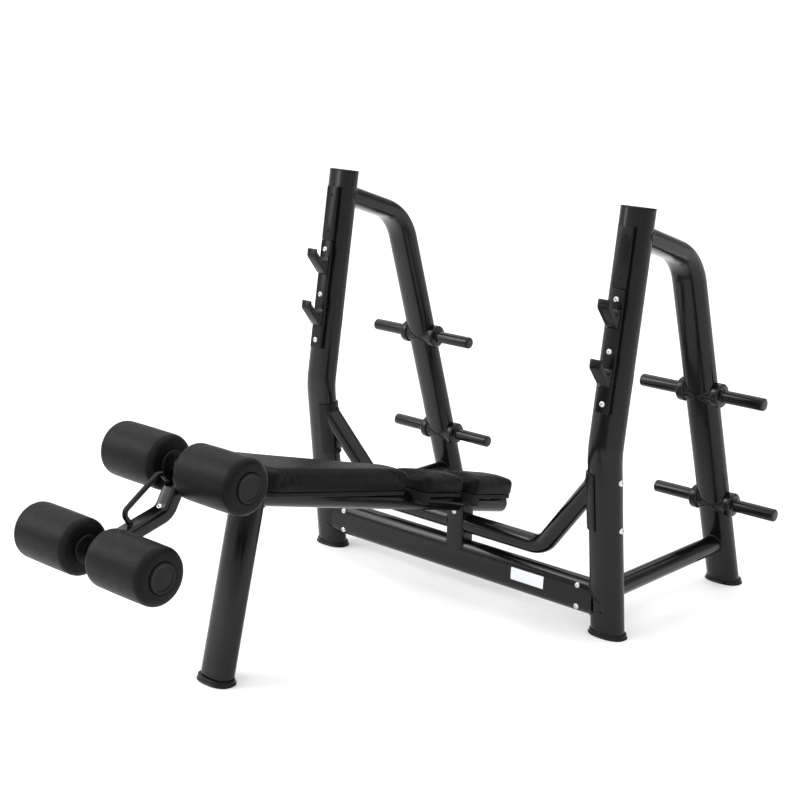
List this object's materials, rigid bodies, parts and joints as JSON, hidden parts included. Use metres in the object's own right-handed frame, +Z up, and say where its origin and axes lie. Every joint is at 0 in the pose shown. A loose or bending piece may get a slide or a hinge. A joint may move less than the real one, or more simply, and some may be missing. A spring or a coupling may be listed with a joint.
{
  "type": "decline bench with bar rack",
  "caption": "Sloping padded bench with foam foot rollers on a hinged arm, set between bar-rack uprights with hooks and braced rear legs that carry plate horns",
  "frame": {"origin": "middle of the footprint, on the floor", "axes": "+Z up, +Y from the foot rollers to the rear legs, +X to the right of somebody who looks along +Y"},
  "size_m": [1.5808, 2.2036, 1.2789],
  "materials": {
    "frame_paint": "semi-gloss black powder coat",
    "plate_paint": "satin black powder coat",
    "cap_rubber": "smooth moulded, slightly glossy",
    "cushion_vinyl": "fine-grained black vinyl, soft sheen",
    "board_ply": "black stained plywood",
    "roller_foam": "matt moulded polyurethane skin",
    "hard_plastic": "moulded, satin",
    "axle_steel": "zinc-plated"
  },
  "bodies": {
    "frame": {"upright_left": "frame_paint", "upright_right": "frame_paint", "rear_leg_left": "frame_paint", "rear_leg_right": "frame_paint", "side_tube_left": "frame_paint", "side_tube_right": "frame_paint", "cross_beam": "frame_paint", "u_tube": "frame_paint", "centre_post": "frame_paint", "spine": "frame_paint", "front_leg": "frame_paint", "yoke": "frame_paint", "plate_horn_left_lower_inner": "frame_paint", "plate_horn_left_lower_outer": "frame_paint", "plate_horn_left_upper_inner": "frame_paint", "plate_horn_left_upper_outer": "frame_paint", "plate_horn_right_lower_inner": "frame_paint", "plate_horn_right_lower_outer": "frame_paint", "plate_horn_right_upper_inner": "frame_paint", "plate_horn_right_upper_outer": "frame_paint", "bar_hook_plate_left": "plate_paint", "bar_hook_plate_right": "plate_paint", "cover_plate_left": "plate_paint", "cover_plate_right": "plate_paint", "u_tube_saddle_left": "plate_paint", "u_tube_saddle_right": "plate_paint", "upright_top_cap_left": "cap_rubber", "upright_top_cap_right": "cap_rubber", "upright_foot_left": "cap_rubber", "upright_foot_right": "cap_rubber", "rear_foot_left": "cap_rubber", "rear_foot_right": "cap_rubber", "front_foot": "cap_rubber", "spine_plug": "cap_rubber", "main_pad": "cushion_vinyl", "middle_pad": "cushion_vinyl", "head_pad": "cushion_vinyl", "main_board": "board_ply", "middle_board": "board_ply", "head_board": "board_ply", "axle_disc_upper_left": "hard_plastic", "axle_disc_upper_right": "hard_plastic", "upper_axle": "axle_steel"},
    "leg_arm": {"leg_arm": "frame_paint", "handle_loop": "frame_paint", "lower_axle": "axle_steel", "axle_disc_lower_left": "hard_plastic", "axle_disc_lower_right": "hard_plastic"},
    "upper_roller_left": {"roller_upper_left": "roller_foam", "roller_core_upper_left": "hard_plastic", "roller_cap_upper_left": "hard_plastic"},
    "upper_roller_right": {"roller_upper_right": "roller_foam", "roller_core_upper_right": "hard_plastic", "roller_cap_upper_right": "hard_plastic"},
    "lower_roller_left": {"roller_lower_left": "roller_foam", "roller_core_lower_left": "hard_plastic", "roller_cap_lower_left": "hard_plastic"},
    "lower_roller_right": {"roller_lower_right": "roller_foam", "roller_core_lower_right": "hard_plastic", "roller_cap_lower_right": "hard_plastic"}
  },
  "joints": [
    {"name": "leg_arm_pivot", "type": "hinge", "parent": "frame", "child": "leg_arm", "pos_m": [0, -0.7453, 0.636], "axis": [1, 0, 0], "range_deg": [-20, 25]},
    {"name": "upper_roller_left_spin", "type": "hinge", "parent": "frame", "child": "upper_roller_left", "pos_m": [0, -0.7453, 0.636], "axis": [1, 0, 0], "continuous": true},
    {"name": "upper_roller_right_spin", "type": "hinge", "parent": "frame", "child": "upper_roller_right", "pos_m": [0, -0.7453, 0.636], "axis": [1, 0, 0], "continuous": true},
    {"name": "lower_roller_left_spin", "type": "hinge", "parent": "leg_arm", "child": "lower_roller_left", "pos_m": [0, -1.0258, 0.472], "axis": [1, 0, 0], "continuous": true},
    {"name": "lower_roller_right_spin", "type": "hinge", "parent": "leg_arm", "child": "lower_roller_right", "pos_m": [0, -1.0258, 0.472], "axis": [1, 0, 0], "continuous": true}
  ]
}
